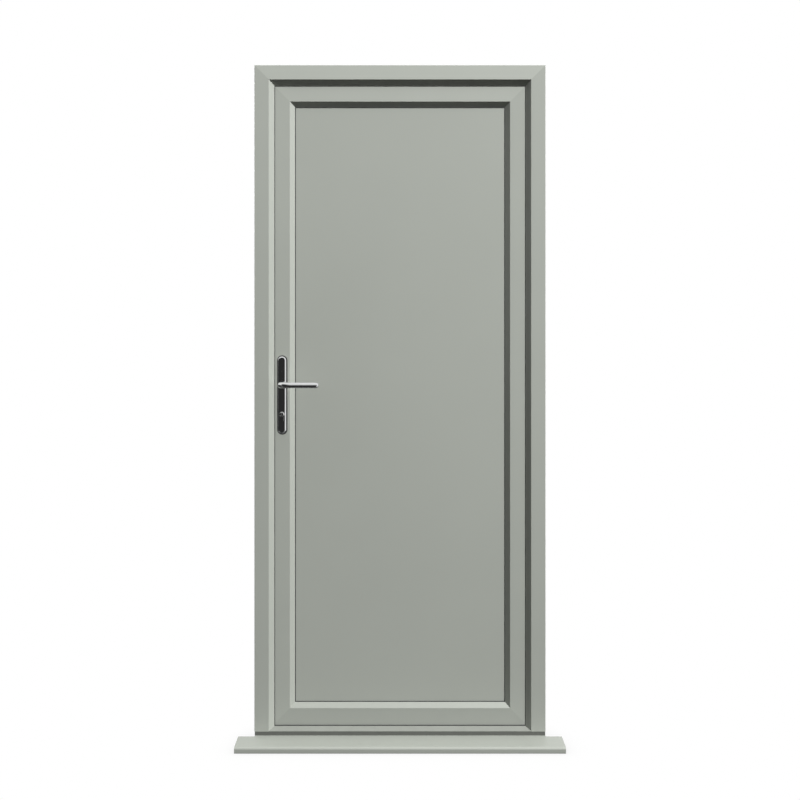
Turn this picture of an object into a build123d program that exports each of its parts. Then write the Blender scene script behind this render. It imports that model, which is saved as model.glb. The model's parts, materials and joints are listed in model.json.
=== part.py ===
"""A uPVC entrance door that opens inwards: outer frame on a sill, mitred leaf with a flat infill panel,
lever handles on long plates, three flag hinges and a multipoint lock.

Frame: +X to the right seen from outside, +Y inwards from the frame's outside face, +Z up.
The origin is on the underside of the sill, below the middle of the frame's outside face.
Sections are given as (u, v): u runs inwards from a rectangle's edge, v is the depth from the outside face.
"""
import math
import os

from build123d import *

# Overall sizes, in millimetres
FRAME_WIDTH = 900.0
OVERALL_HEIGHT = 2097.0
FRAME_DEPTH = 70.0

# Sill
SILL_PROJECTION = 80.0
SILL_HEIGHT = 22.0
SILL_FALL = 3.0
SILL_NOSE_RADIUS = 8.0
SILL_FOOT_RADIUS = 2.5
SILL_HORN = 47.5
END_CAP = 2.5
DRIP_GROOVE_WIDTH = 6.0
DRIP_GROOVE_DEPTH = 3.5
DRIP_GROOVE_SETBACK = 14.0

# Threshold
BASE_HEIGHT = 15.0
BASE_SETBACK = 7.5
THRESHOLD_NOSE = 1.5
THRESHOLD_RISE = 10.8

# Outer frame section
FRAME_FACE = 44.5
FRAME_WEB = 36.5
LIP_CHAMFER_WIDTH = 15.0
LIP_CHAMFER_DEPTH = 15.0
LIP_TIP = 4.0
EDGE_RADIUS = 1.5

# Leaf section
LEAF_DEPTH = 70.0
LEAF_FACE = 58.5
LEAF_CHAMFER_WIDTH = 14.7
LEAF_CHAMFER_DEPTH = 12.5
LEAF_TIP = 1.5
GLAZING_REBATE = 20.0
FLANGE_OVERLAP = 8.0

# Gaps between the leaf and the frame
LEAF_SETBACK_GAP = 5.0
SIDE_GAP = 12.0
BOTTOM_GAP = 5.5
FLANGE_GAP = 6.0

# Seals
SEAL_CLEARANCE = 0.6
FRAME_SEAL_WIDTH = 9.0
FRAME_SEAL_SHOW = 1.6
PANEL_SEAL_WIDTH = 11.0
PANEL_SEAL_SHOW = 2.3
PANEL_SEAL_THICKNESS = 2.5
LEAF_SEAL_WIDTH = 5.5
LEAF_SEAL_INSET = 2.0

# Infill panel and glazing beads
PANEL_THICKNESS = 28.0
PANEL_EDGE_GAP = 4.0
BEAD_LIP = 6.0
BEAD_SLOPE = 9.0

# Handles
BACKSET = 35.0
LEVER_HEIGHT = 1108.0
CYLINDER_DROP = 92.0
PLATE_WIDTH = 32.0
PLATE_LENGTH = 247.0
PLATE_THICKNESS = 10.0
PLATE_BEVEL = 4.5
PLATE_DROP = 32.0
LEVER_LENGTH = 117.5
LEVER_GRIP_HEIGHT = 20.0
LEVER_GRIP_THICKNESS = 11.0
LEVER_LEAN = 25.0
LEVER_FINGER_GAP = 38.0
LEVER_TIP_RADIUS = 8.5
NECK_RADIUS = 9.5
NECK_ROUND = 6.0
NECK_CLEARANCE = 0.1
SPINDLE_SIZE = 8.0
SPINDLE_SOCKET = 12.0
SPINDLE_HOLE_RADIUS = 7.0

# Lock cylinder
CYLINDER_RADIUS = 8.5
CYLINDER_TAIL_WIDTH = 10.0
CYLINDER_TOTAL = 33.0
CYLINDER_PROUD = 2.5
CYLINDER_CLEARANCE = 0.2
KEYWAY_WIDTH = 2.4
KEYWAY_HEIGHT = 9.0
KEYWAY_DEPTH = 14.0

# Lock faceplate, bolts and keeps
FACEPLATE_WIDTH = 20.0
FACEPLATE_LENGTH = 1700.0
FACEPLATE_THICKNESS = 3.0
LATCH_SIZE = (14.0, 36.0)
LATCH_RISE = 12.0
DEADBOLT_SIZE = (12.0, 34.0)
HOOK_SIZE = (10.0, 60.0)
HOOK_END_OFFSET = 250.0
BOLT_CLEARANCE = 0.3
KEEP_WIDTH = 26.0
KEEP_THICKNESS = 3.0
KEEP_MARGIN = 32.0
KEEP_WINDOW_MARGIN = 3.0
KEEP_POCKET = 16.0

# Hinges
HINGE_HEIGHT = 100.0
HINGE_END_OFFSET = 240.0
HINGE_REACH = 11.0
HINGE_STAND = 6.0
KNUCKLE_RADIUS = 7.0
KNUCKLE_GAP = 0.4
PIN_RADIUS = 4.0
PIN_CLEARANCE = 0.05
PIN_HEAD_HEIGHT = 3.0
BRACKET_CLEARANCE = 5.0
BRACKET_WIDTH = 18.0
FLAG_WIDTH = 54.0
FLAG_THICKNESS = 4.0
FLAG_ARM = 5.0
HINGE_RADIUS = 4.0

# Frame fixing holes through the jambs
FIXING_RADIUS = 5.0
FIXING_OUTER_SPACING = 1725.0
FIXING_INNER_SPACING = 575.0

# Places worked out from the sizes above
THRESHOLD_Z = SILL_HEIGHT + BASE_HEIGHT
LIP_U = FRAME_FACE + LIP_CHAMFER_WIDTH
LIP_BACK = LIP_CHAMFER_DEPTH + LIP_TIP
LEAF_FRONT = LIP_BACK + LEAF_SETBACK_GAP
LEAF_BACK = LEAF_FRONT + LEAF_DEPTH
LEAF_MIDDLE = (LEAF_FRONT + LEAF_BACK) / 2
FLANGE_FRONT = FRAME_DEPTH + FLANGE_GAP
FLANGE_WIDTH = SIDE_GAP + FLANGE_OVERLAP
LEAF_U = FRAME_WEB + SIDE_GAP
CHAMFER_U = FLANGE_WIDTH + LEAF_FACE
LEAF_TIP_U = CHAMFER_U + LEAF_CHAMFER_WIDTH
REBATE_U = LEAF_TIP_U - GLAZING_REBATE
LEG_BACK = LEAF_FRONT + LEAF_CHAMFER_DEPTH + LEAF_TIP
PANEL_FRONT = LEG_BACK + PANEL_SEAL_THICKNESS
PANEL_BACK = PANEL_FRONT + PANEL_THICKNESS
BEAD_FRONT = PANEL_BACK + PANEL_SEAL_THICKNESS
LEAF_BOTTOM = THRESHOLD_Z + BOTTOM_GAP

# Rectangles as left, right, bottom, top
FRAME_RECT = (-FRAME_WIDTH / 2, FRAME_WIDTH / 2, THRESHOLD_Z, OVERALL_HEIGHT)
LEAF_SIDE = FRAME_WIDTH / 2 - LEAF_U + FLANGE_WIDTH
LEAF_RECT = (-LEAF_SIDE, LEAF_SIDE, LEAF_BOTTOM - FLANGE_WIDTH, OVERALL_HEIGHT - LEAF_U + FLANGE_WIDTH)
LEAF_CENTRE_Z = (LEAF_RECT[2] + LEAF_RECT[3]) / 2

# Handle, lock and hinge places
LOCK_EDGE_X = LEAF_RECT[0] + FLANGE_WIDTH
SPINDLE_X = LOCK_EDGE_X + BACKSET
CYLINDER_Z = LEVER_HEIGHT - CYLINDER_DROP
PLATE_Z = LEVER_HEIGHT - PLATE_DROP
LEAN = math.radians(LEVER_LEAN)
GRIP_HALF_DEPTH = math.hypot(LEVER_GRIP_HEIGHT * math.sin(LEAN), LEVER_GRIP_THICKNESS * math.cos(LEAN)) / 2
GRIP_Y = LEAF_FRONT - PLATE_THICKNESS - LEVER_FINGER_GAP - GRIP_HALF_DEPTH
LOCK_Y = (LEAF_FRONT + FLANGE_FRONT) / 2
LATCH_Z = LEVER_HEIGHT + LATCH_RISE
HOOK_REACH = FACEPLATE_LENGTH / 2 - HOOK_END_OFFSET
HOOK_HEIGHTS = (LEAF_CENTRE_Z - HOOK_REACH, LEAF_CENTRE_Z + HOOK_REACH)
HINGE_X = LEAF_RECT[1] + HINGE_REACH
HINGE_Y = LEAF_BACK + HINGE_STAND
HINGE_HEIGHTS = {
    "bottom": LEAF_RECT[2] + HINGE_END_OFFSET,
    "middle": LEAF_CENTRE_Z,
    "top": LEAF_RECT[3] - HINGE_END_OFFSET,
}
FIXING_Z = (THRESHOLD_Z + OVERALL_HEIGHT) / 2
FIXING_HEIGHTS = [
    FIXING_Z + side * spacing / 2
    for spacing in (FIXING_OUTER_SPACING, FIXING_INNER_SPACING)
    for side in (-1, 1)
]
CUT_MARGIN = 1.0
TOUCH = 0.01


def inset(rect, amount):
    """The rectangle moved in by an amount on all sides."""
    left, right, bottom, top = rect
    return (left + amount, right - amount, bottom + amount, top - amount)


def block(x_span, y_span, z_span):
    """A box between two limits on each axis."""
    spans = (x_span, y_span, z_span)
    size = [high - low for low, high in spans]
    middle = [(high + low) / 2 for low, high in spans]
    return Pos(*middle) * Box(*size)


def ring(rect, width, y_start, y_stop):
    """A rectangular ring of one width between two depths."""
    left, right, bottom, top = rect
    outer = block((left, right), (y_start, y_stop), (bottom, top))
    left, right, bottom, top = inset(rect, width)
    return outer - block((left, right), (y_start - CUT_MARGIN, y_stop + CUT_MARGIN), (bottom, top))


def rounded(face, soft_points, radius):
    """A flat face with the named corners rounded."""
    soft = []
    for corner in face.vertices():
        if any(abs(corner.X - x) < TOUCH and abs(corner.Y - y) < TOUCH for x, y in soft_points):
            soft.append(corner)
    return fillet(soft, radius) if soft else face


def outline_face(points, soft_points, radius):
    """The flat face inside an outline, with some corners rounded."""
    return rounded(make_face(Polyline(*points, close=True)), soft_points, radius)


def mitre_prism(side, rect, reach, foot_mitred):
    """The space of one side of a rectangle, with 45 degree ends."""
    left, right, bottom, top = rect
    lift = reach if foot_mitred else 0.0
    corners = {
        "left": [(left, bottom), (left, top), (left + reach, top - reach), (left + reach, bottom + lift)],
        "right": [(right, bottom), (right, top), (right - reach, top - reach), (right - reach, bottom + lift)],
        "top": [(left, top), (right, top), (right - reach, top - reach), (left + reach, top - reach)],
        "bottom": [(left, bottom), (right, bottom), (right - reach, bottom + reach), (left + reach, bottom + reach)],
    }[side]
    face = Plane.XZ * make_face(Polyline(*corners, close=True))
    return extrude(face, amount=2 * (FRAME_DEPTH + LEAF_DEPTH), both=True)


def member(side, rect, section, soft, foot_mitred=True):
    """One mitred side of a rectangular frame, from its (u, v) section."""
    left, right, bottom, top = rect
    place = {
        "left": lambda u, v: (left + u, v),
        "right": lambda u, v: (right - u, v),
        "top": lambda u, v: (v, top - u),
        "bottom": lambda u, v: (v, bottom + u),
    }[side]
    upright = side in ("left", "right")
    plane = Plane.XY.offset(bottom) if upright else Plane.YZ.offset(left)
    length = top - bottom if upright else right - left
    points = [place(u, v) for u, v in section]
    soft_points = [place(u, v) for u, v in soft]
    bar = extrude(plane * outline_face(points, soft_points, EDGE_RADIUS), amount=length, dir=plane.z_dir)
    reach = max(u for u, v in section) + CUT_MARGIN
    return bar & mitre_prism(side, rect, reach, foot_mitred)


def facing(y, x, z):
    """A drawing plane that looks out of the door: x to the right, y up, at one depth."""
    return Plane(origin=(x, y, z), x_dir=(1, 0, 0), z_dir=(0, -1, 0))


def mirrored_inside(shape):
    """The same shape on the inside of the leaf."""
    return mirror(shape, about=Plane(origin=(0, LEAF_MIDDLE, 0), z_dir=(0, 1, 0)))


def save(shape, name):
    """Write one node."""
    export_step(shape, os.path.join("parts", name + ".step"))


# Outer frame


def frame_member(side):
    """Head or jamb: an L section with a chamfered lip that the leaf closes against."""
    section = [
        (0, 0),
        (FRAME_FACE, 0),
        (LIP_U, LIP_CHAMFER_DEPTH),
        (LIP_U, LIP_BACK),
        (FRAME_WEB, LIP_BACK),
        (FRAME_WEB, FRAME_DEPTH),
        (0, FRAME_DEPTH),
    ]
    soft = [(0, 0), (FRAME_FACE, 0), (LIP_U, LIP_CHAMFER_DEPTH), (FRAME_WEB, FRAME_DEPTH)]
    return member(side, FRAME_RECT, section, soft, foot_mitred=False)


def fixing_holes(side):
    """The frame fixing holes across one jamb."""
    outer_x = side * FRAME_WIDTH / 2
    inner_x = side * (FRAME_WIDTH / 2 - FRAME_WEB)
    length = FRAME_WEB + 2 * CUT_MARGIN
    hole = Rot(0, 90, 0) * Cylinder(FIXING_RADIUS, length)
    return [Pos((outer_x + inner_x) / 2, LOCK_Y, z) * hole for z in FIXING_HEIGHTS]


def keep_windows(name):
    """The openings of one keep as height and size, from the bolts that enter it."""
    if name == "centre":
        return [(LATCH_Z, LATCH_SIZE), (CYLINDER_Z, DEADBOLT_SIZE)]
    return [(HOOK_HEIGHTS[0 if name == "bottom" else 1], HOOK_SIZE)]


def bolt_block(x_span, height, size, margin):
    """A block across the lock edge, around one bolt."""
    half_width = size[0] / 2 + margin
    half_height = size[1] / 2 + margin
    y_span = (LOCK_Y - half_width, LOCK_Y + half_width)
    return block(x_span, y_span, (height - half_height, height + half_height))


def keep(name):
    """One keep plate on the lock jamb."""
    face_x = -FRAME_WIDTH / 2 + FRAME_WEB
    windows = keep_windows(name)
    heights = [z + side * (size[1] / 2 + KEEP_MARGIN) for z, size in windows for side in (-1, 1)]
    x_span = (face_x, face_x + KEEP_THICKNESS)
    y_span = (LOCK_Y - KEEP_WIDTH / 2, LOCK_Y + KEEP_WIDTH / 2)
    plate = block(x_span, y_span, (min(heights), max(heights)))
    plate = fillet(plate.edges().filter_by(Axis.X), KEEP_WINDOW_MARGIN)
    for z, size in windows:
        plate -= bolt_block((face_x - CUT_MARGIN, x_span[1] + CUT_MARGIN), z, size, KEEP_WINDOW_MARGIN)
    return plate


def lock_jamb():
    """The jamb on the handle side, with pockets behind the keeps."""
    jamb = frame_member("left")
    face_x = -FRAME_WIDTH / 2 + FRAME_WEB
    for name in ("bottom", "centre", "top"):
        for z, size in keep_windows(name):
            jamb -= bolt_block((face_x - KEEP_POCKET, face_x + CUT_MARGIN), z, size, KEEP_WINDOW_MARGIN)
    for hole in fixing_holes(-1):
        jamb -= hole
    return jamb


def hinge_jamb():
    """The jamb on the hinge side."""
    jamb = frame_member("right")
    for hole in fixing_holes(1):
        jamb -= hole
    return jamb


def threshold_base():
    """The low bar that the jambs stand on, set back under the frame's face."""
    half = FRAME_WIDTH / 2
    return block((-half, half), (BASE_SETBACK, FRAME_DEPTH), (SILL_HEIGHT, THRESHOLD_Z))


def threshold():
    """The bevelled lip between the jambs, coped to their chamfers."""
    section = [
        (0, THRESHOLD_Z),
        (0, THRESHOLD_Z + THRESHOLD_NOSE),
        (LIP_CHAMFER_DEPTH, THRESHOLD_Z + THRESHOLD_RISE),
        (LIP_BACK, THRESHOLD_Z + THRESHOLD_RISE),
        (LIP_BACK, THRESHOLD_Z),
    ]
    half = FRAME_WIDTH / 2 - FRAME_FACE / 2
    plane = Plane.YZ.offset(-half)
    bar = extrude(plane * make_face(Polyline(*section, close=True)), amount=2 * half, dir=plane.z_dir)
    return bar - frame_member("left") - frame_member("right")


def frame_seal():
    """The seal round the back of the lip, just short of the leaf."""
    side = FRAME_WIDTH / 2 - LIP_U - FRAME_SEAL_SHOW + FRAME_SEAL_WIDTH
    top = OVERALL_HEIGHT - LIP_U - FRAME_SEAL_SHOW + FRAME_SEAL_WIDTH
    bottom = THRESHOLD_Z + THRESHOLD_RISE + FRAME_SEAL_SHOW - FRAME_SEAL_WIDTH
    return ring((-side, side, bottom, top), FRAME_SEAL_WIDTH, LIP_BACK, LEAF_FRONT - SEAL_CLEARANCE)


# Sill


def sill_section():
    """The projecting part's section, with a rounded nose and foot, as depth and height."""
    foot = (-SILL_PROJECTION, 0)
    nose = (-SILL_PROJECTION, SILL_HEIGHT - SILL_FALL)
    face = outline_face([(0, 0), foot, nose, (0, SILL_HEIGHT)], [nose], SILL_NOSE_RADIUS)
    return rounded(face, [foot], SILL_FOOT_RADIUS)


def sill_run(x_start, x_stop):
    """The projecting part between two places along the door."""
    plane = Plane.YZ.offset(x_start)
    return extrude(plane * sill_section(), amount=x_stop - x_start, dir=plane.z_dir)


def sill():
    """The sill: horns in front of the wall, and a bed under the frame."""
    half = FRAME_WIDTH / 2
    body = sill_run(-half - SILL_HORN, half + SILL_HORN)
    body += block((-half, half), (0, FRAME_DEPTH), (0, SILL_HEIGHT))
    groove_y = -SILL_PROJECTION + DRIP_GROOVE_SETBACK
    reach = half + SILL_HORN + CUT_MARGIN
    groove_span = (groove_y, groove_y + DRIP_GROOVE_WIDTH)
    return body - block((-reach, reach), groove_span, (-CUT_MARGIN, DRIP_GROOVE_DEPTH))


def sill_end_cap(side):
    """The cap over one cut end of the sill."""
    start = FRAME_WIDTH / 2 + SILL_HORN
    if side < 0:
        return sill_run(-start - END_CAP, -start)
    return sill_run(start, start + END_CAP)


# Leaf


def leaf_member(side):
    """Rail or stile: a T section with a chamfered outside leg and a flange that laps the frame inside."""
    section = [
        (FLANGE_WIDTH, LEAF_FRONT),
        (CHAMFER_U, LEAF_FRONT),
        (LEAF_TIP_U, LEAF_FRONT + LEAF_CHAMFER_DEPTH),
        (LEAF_TIP_U, LEG_BACK),
        (REBATE_U, LEG_BACK),
        (REBATE_U, LEAF_BACK),
        (0, LEAF_BACK),
        (0, FLANGE_FRONT),
        (FLANGE_WIDTH, FLANGE_FRONT),
    ]
    soft = [(FLANGE_WIDTH, LEAF_FRONT), (CHAMFER_U, LEAF_FRONT), (0, LEAF_BACK), (0, FLANGE_FRONT)]
    return member(side, LEAF_RECT, section, soft)


def cylinder_section(clearance):
    """The lock cylinder's outline: a round barrel with a narrow tail below it."""
    tail_radius = CYLINDER_TAIL_WIDTH / 2
    tail_end = CYLINDER_TOTAL - CYLINDER_RADIUS - tail_radius
    tail = Pos(0, -tail_end / 2) * Rectangle(CYLINDER_TAIL_WIDTH + 2 * clearance, tail_end)
    tail += Pos(0, -tail_end) * Circle(tail_radius + clearance)
    return Circle(CYLINDER_RADIUS + clearance) + tail


def through_leaf(section, x, z, proud):
    """A section carried through the whole depth of the leaf, standing out on both sides."""
    plane = facing(LEAF_BACK + proud, x, z)
    return extrude(plane * section, amount=LEAF_DEPTH + 2 * proud, dir=plane.z_dir)


def lock_bolts():
    """Every bolt in the lock as height and size."""
    bolts = [(LATCH_Z, LATCH_SIZE), (CYLINDER_Z, DEADBOLT_SIZE)]
    return bolts + [(z, HOOK_SIZE) for z in HOOK_HEIGHTS]


def faceplate_blank():
    """The lock faceplate before its windows are cut, flush in the leaf's edge."""
    half = FACEPLATE_LENGTH / 2
    y_span = (LOCK_Y - FACEPLATE_WIDTH / 2, LOCK_Y + FACEPLATE_WIDTH / 2)
    x_span = (LOCK_EDGE_X, LOCK_EDGE_X + FACEPLATE_THICKNESS)
    return block(x_span, y_span, (LEAF_CENTRE_Z - half, LEAF_CENTRE_Z + half))


def lock_faceplate():
    """The faceplate with a window for each bolt."""
    plate = faceplate_blank()
    x_span = (LOCK_EDGE_X - CUT_MARGIN, LOCK_EDGE_X + FACEPLATE_THICKNESS + CUT_MARGIN)
    for z, size in lock_bolts():
        plate -= bolt_block(x_span, z, size, BOLT_CLEARANCE)
    return plate


def bolt(z, size):
    """One bolt, withdrawn flush with the faceplate."""
    return bolt_block((LOCK_EDGE_X, LOCK_EDGE_X + FACEPLATE_THICKNESS), z, size, 0)


def lock_stile():
    """The stile on the handle side, cut for the lock, the spindle and the cylinder."""
    stile = leaf_member("left") - faceplate_blank()
    stile -= through_leaf(Circle(SPINDLE_HOLE_RADIUS), SPINDLE_X, LEVER_HEIGHT, CUT_MARGIN)
    return stile - through_leaf(cylinder_section(CYLINDER_CLEARANCE), SPINDLE_X, CYLINDER_Z, CUT_MARGIN)


def infill_panel():
    """The flat insulated panel between the seals."""
    left, right, bottom, top = inset(LEAF_RECT, REBATE_U + PANEL_EDGE_GAP)
    return block((left, right), (PANEL_FRONT, PANEL_BACK), (bottom, top))


def panel_seal(y_start, y_stop):
    """A seal between the panel and what holds it, showing past the edge."""
    outer = inset(LEAF_RECT, LEAF_TIP_U + PANEL_SEAL_SHOW - PANEL_SEAL_WIDTH)
    return ring(outer, PANEL_SEAL_WIDTH, y_start, y_stop)


def leaf_seal():
    """The seal on the flange, just short of the frame's inside face."""
    outer = inset(LEAF_RECT, LEAF_SEAL_INSET)
    return ring(outer, LEAF_SEAL_WIDTH, FRAME_DEPTH + SEAL_CLEARANCE, FLANGE_FRONT)


def bead(side):
    """One glazing bead that clips in behind the panel."""
    section = [
        (0, BEAD_FRONT),
        (GLAZING_REBATE, BEAD_FRONT),
        (GLAZING_REBATE, BEAD_FRONT + BEAD_LIP),
        (GLAZING_REBATE - BEAD_SLOPE, LEAF_BACK),
        (0, LEAF_BACK),
    ]
    soft = section[2:4]
    return member(side, inset(LEAF_RECT, REBATE_U), section, soft)


# Handles and cylinder


def handle_plate():
    """The outside plate: a long plate with round ends and a bevelled front edge."""
    plane = facing(LEAF_FRONT, SPINDLE_X, PLATE_Z)
    outline = SlotOverall(PLATE_LENGTH, PLATE_WIDTH, rotation=90)
    plate = extrude(plane * outline, amount=PLATE_THICKNESS, dir=plane.z_dir)
    plate = chamfer(plate.faces().sort_by(Axis.Y)[0].edges(), PLATE_BEVEL)
    bore = Circle(NECK_RADIUS + NECK_CLEARANCE)
    plate -= through_leaf(bore, SPINDLE_X, LEVER_HEIGHT, PLATE_THICKNESS + CUT_MARGIN)
    hole = cylinder_section(CYLINDER_CLEARANCE)
    return plate - through_leaf(hole, SPINDLE_X, CYLINDER_Z, PLATE_THICKNESS + CUT_MARGIN)


def lever():
    """The outside lever: a round neck, and an oval grip that leans back at the top and has a rounded tip."""
    neck_y = LEAF_FRONT - NECK_CLEARANCE
    neck_plane = facing(neck_y, SPINDLE_X, LEVER_HEIGHT)
    reach = neck_y - GRIP_Y + LEVER_GRIP_THICKNESS / 2
    neck = extrude(neck_plane * Circle(NECK_RADIUS), amount=reach, dir=neck_plane.z_dir)
    neck = fillet(neck.edges().sort_by(Axis.Y)[0], NECK_ROUND)
    grip_plane = Plane(origin=(SPINDLE_X, GRIP_Y, LEVER_HEIGHT), x_dir=(0, 1, 0), z_dir=(1, 0, 0))
    oval = Ellipse(LEVER_GRIP_THICKNESS / 2, LEVER_GRIP_HEIGHT / 2, rotation=-LEVER_LEAN)
    grip = extrude(grip_plane * oval, amount=LEVER_LENGTH)
    side_outline = RectangleRounded(2 * LEVER_LENGTH, LEVER_GRIP_HEIGHT, LEVER_TIP_RADIUS)
    grip = grip & extrude(neck_plane * side_outline, amount=2 * reach, both=True)
    socket = extrude(neck_plane * Rectangle(SPINDLE_SIZE, SPINDLE_SIZE), amount=SPINDLE_SOCKET, dir=neck_plane.z_dir)
    return neck + grip - socket


def spindle():
    """The square bar that joins the two levers."""
    proud = SPINDLE_SOCKET + NECK_CLEARANCE
    return through_leaf(Rectangle(SPINDLE_SIZE, SPINDLE_SIZE), SPINDLE_X, LEVER_HEIGHT, proud)


def lock_cylinder():
    """The key cylinder through the leaf, with a keyway at each end."""
    proud = PLATE_THICKNESS + CYLINDER_PROUD
    body = through_leaf(cylinder_section(0), SPINDLE_X, CYLINDER_Z, proud)
    plane = facing(LEAF_FRONT - proud, SPINDLE_X, CYLINDER_Z)
    slot = extrude(plane * Rectangle(KEYWAY_WIDTH, KEYWAY_HEIGHT), amount=KEYWAY_DEPTH, both=True)
    return body - slot - mirrored_inside(slot)


# Hinges


def knuckle(z_low, z_high, radius):
    """A round piece on the hinge axis between two heights."""
    plane = Plane(origin=(HINGE_X, HINGE_Y, z_low))
    return extrude(plane * Circle(radius), amount=z_high - z_low)


def knuckle_spans(z):
    """The heights of the lower, middle and upper thirds of a hinge."""
    low = z - HINGE_HEIGHT / 2
    third = HINGE_HEIGHT / 3
    return [(low + i * third, low + (i + 1) * third) for i in range(3)]


def hinge_bracket(z):
    """The frame's part of a hinge: a block on the frame with an upper and a lower knuckle."""
    spans = knuckle_spans(z)
    inner_x = LEAF_RECT[1] + BRACKET_CLEARANCE
    front_y = HINGE_Y - KNUCKLE_RADIUS - KNUCKLE_GAP
    x_span = (inner_x, inner_x + BRACKET_WIDTH)
    body = block(x_span, (FRAME_DEPTH, front_y), (spans[0][0], spans[2][1]))
    body = fillet(body.edges().filter_by(Axis.Y), HINGE_RADIUS)
    for low, high in (spans[0], spans[2]):
        arm_span = (HINGE_X - KNUCKLE_RADIUS + KNUCKLE_GAP, HINGE_X + KNUCKLE_RADIUS - KNUCKLE_GAP)
        body += block(arm_span, (front_y - HINGE_RADIUS, HINGE_Y), (low + HINGE_RADIUS, high - HINGE_RADIUS))
        body += knuckle(low, high, KNUCKLE_RADIUS)
    return body - knuckle(spans[0][0] - CUT_MARGIN, spans[2][1] + CUT_MARGIN, PIN_RADIUS + PIN_CLEARANCE)


def hinge_flag(z):
    """The leaf's part of a hinge: a flag on the leaf with an arm to the middle knuckle."""
    spans = knuckle_spans(z)
    low, high = spans[1][0] + KNUCKLE_GAP, spans[1][1] - KNUCKLE_GAP
    edge_x = LEAF_RECT[1] - HINGE_STAND
    flag = block((edge_x - FLAG_WIDTH, edge_x), (LEAF_BACK, LEAF_BACK + FLAG_THICKNESS), (spans[0][0], spans[2][1]))
    flag = fillet(flag.edges().filter_by(Axis.Y), HINGE_RADIUS)
    arm = block((edge_x - HINGE_STAND, HINGE_X), (HINGE_Y - FLAG_ARM, HINGE_Y), (low, high))
    flag += arm
    flag += knuckle(low, high, KNUCKLE_RADIUS)
    return flag - knuckle(low - CUT_MARGIN, high + CUT_MARGIN, PIN_RADIUS + PIN_CLEARANCE)


def hinge_pin(z):
    """The pin through the three knuckles, with a flat head on top."""
    spans = knuckle_spans(z)
    top = spans[2][1]
    return knuckle(spans[0][0], top, PIN_RADIUS) + knuckle(top, top + PIN_HEAD_HEIGHT, KNUCKLE_RADIUS)


def main():
    os.makedirs("parts", exist_ok=True)
    save(frame_member("top"), "frame_head")
    save(lock_jamb(), "frame_lock_jamb")
    save(hinge_jamb(), "frame_hinge_jamb")
    save(threshold(), "threshold")
    save(threshold_base(), "threshold_base")
    save(frame_seal(), "frame_seal")
    save(sill(), "sill")
    save(sill_end_cap(-1), "sill_end_cap_left")
    save(sill_end_cap(1), "sill_end_cap_right")
    for name in ("bottom", "centre", "top"):
        save(keep(name), "keep_" + name)

    save(leaf_member("top"), "leaf_top_rail")
    save(leaf_member("bottom"), "leaf_bottom_rail")
    save(lock_stile(), "leaf_lock_stile")
    save(leaf_member("right"), "leaf_hinge_stile")
    save(infill_panel(), "infill_panel")
    for side in ("left", "right", "top", "bottom"):
        save(bead(side), "glazing_bead_" + side)
    save(panel_seal(LEG_BACK, PANEL_FRONT), "panel_seal_outside")
    save(panel_seal(PANEL_BACK, BEAD_FRONT), "panel_seal_inside")
    save(leaf_seal(), "leaf_seal")

    save(lock_faceplate(), "lock_faceplate")
    save(bolt(LATCH_Z, LATCH_SIZE), "latch_bolt")
    save(bolt(CYLINDER_Z, DEADBOLT_SIZE), "deadbolt")
    for name, z in zip(("bottom", "top"), HOOK_HEIGHTS):
        save(bolt(z, HOOK_SIZE), "hook_bolt_" + name)
    save(lock_cylinder(), "lock_cylinder")

    save(handle_plate(), "outside_plate")
    save(mirrored_inside(handle_plate()), "inside_plate")
    save(lever(), "outside_lever")
    save(mirrored_inside(lever()), "inside_lever")
    save(spindle(), "spindle")

    for name, z in HINGE_HEIGHTS.items():
        save(hinge_bracket(z), "hinge_bracket_" + name)
        save(hinge_flag(z), "hinge_flag_" + name)
        save(hinge_pin(z), "hinge_pin_" + name)


main()
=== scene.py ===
"""The looks of a uPVC entrance door.

It has satin agate grey profiles, a flat panel, rubber seals and polished handles.
Every place is in metres in the door's own frame: +X right seen from outside, +Y inwards, +Z up.
"""
import json
import math

import bmesh
import bpy
from mathutils import Matrix, Vector

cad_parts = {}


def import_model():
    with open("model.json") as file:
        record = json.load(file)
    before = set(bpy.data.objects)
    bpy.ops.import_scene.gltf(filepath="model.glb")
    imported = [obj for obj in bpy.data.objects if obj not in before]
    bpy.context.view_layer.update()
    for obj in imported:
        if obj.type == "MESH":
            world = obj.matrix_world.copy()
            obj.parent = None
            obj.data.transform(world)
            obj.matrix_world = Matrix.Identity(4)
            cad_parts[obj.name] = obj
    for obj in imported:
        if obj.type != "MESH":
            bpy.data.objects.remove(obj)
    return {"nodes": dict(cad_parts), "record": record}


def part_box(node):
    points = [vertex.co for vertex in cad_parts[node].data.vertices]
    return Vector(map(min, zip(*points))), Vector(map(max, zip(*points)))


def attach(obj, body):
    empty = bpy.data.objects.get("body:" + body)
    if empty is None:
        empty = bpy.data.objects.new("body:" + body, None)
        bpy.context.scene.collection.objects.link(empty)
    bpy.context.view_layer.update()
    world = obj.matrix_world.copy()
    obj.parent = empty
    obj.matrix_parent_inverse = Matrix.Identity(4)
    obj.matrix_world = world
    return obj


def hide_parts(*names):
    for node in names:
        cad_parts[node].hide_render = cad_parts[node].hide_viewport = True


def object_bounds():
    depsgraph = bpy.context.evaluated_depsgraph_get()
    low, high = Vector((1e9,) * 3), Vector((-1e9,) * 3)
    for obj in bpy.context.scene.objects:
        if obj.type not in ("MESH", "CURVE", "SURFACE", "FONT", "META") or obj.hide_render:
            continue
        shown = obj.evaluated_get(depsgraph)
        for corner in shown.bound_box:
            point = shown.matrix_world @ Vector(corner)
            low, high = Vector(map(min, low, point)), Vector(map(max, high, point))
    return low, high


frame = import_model()
cad_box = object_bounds()

MM = 0.001

# Camera, level in front of the door
CAMERA_DISTANCE = 3.125
CAMERA_HEIGHT = 1.2162
CAMERA_LENS = 45.5
CAMERA_SHIFT = -0.0625

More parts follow.
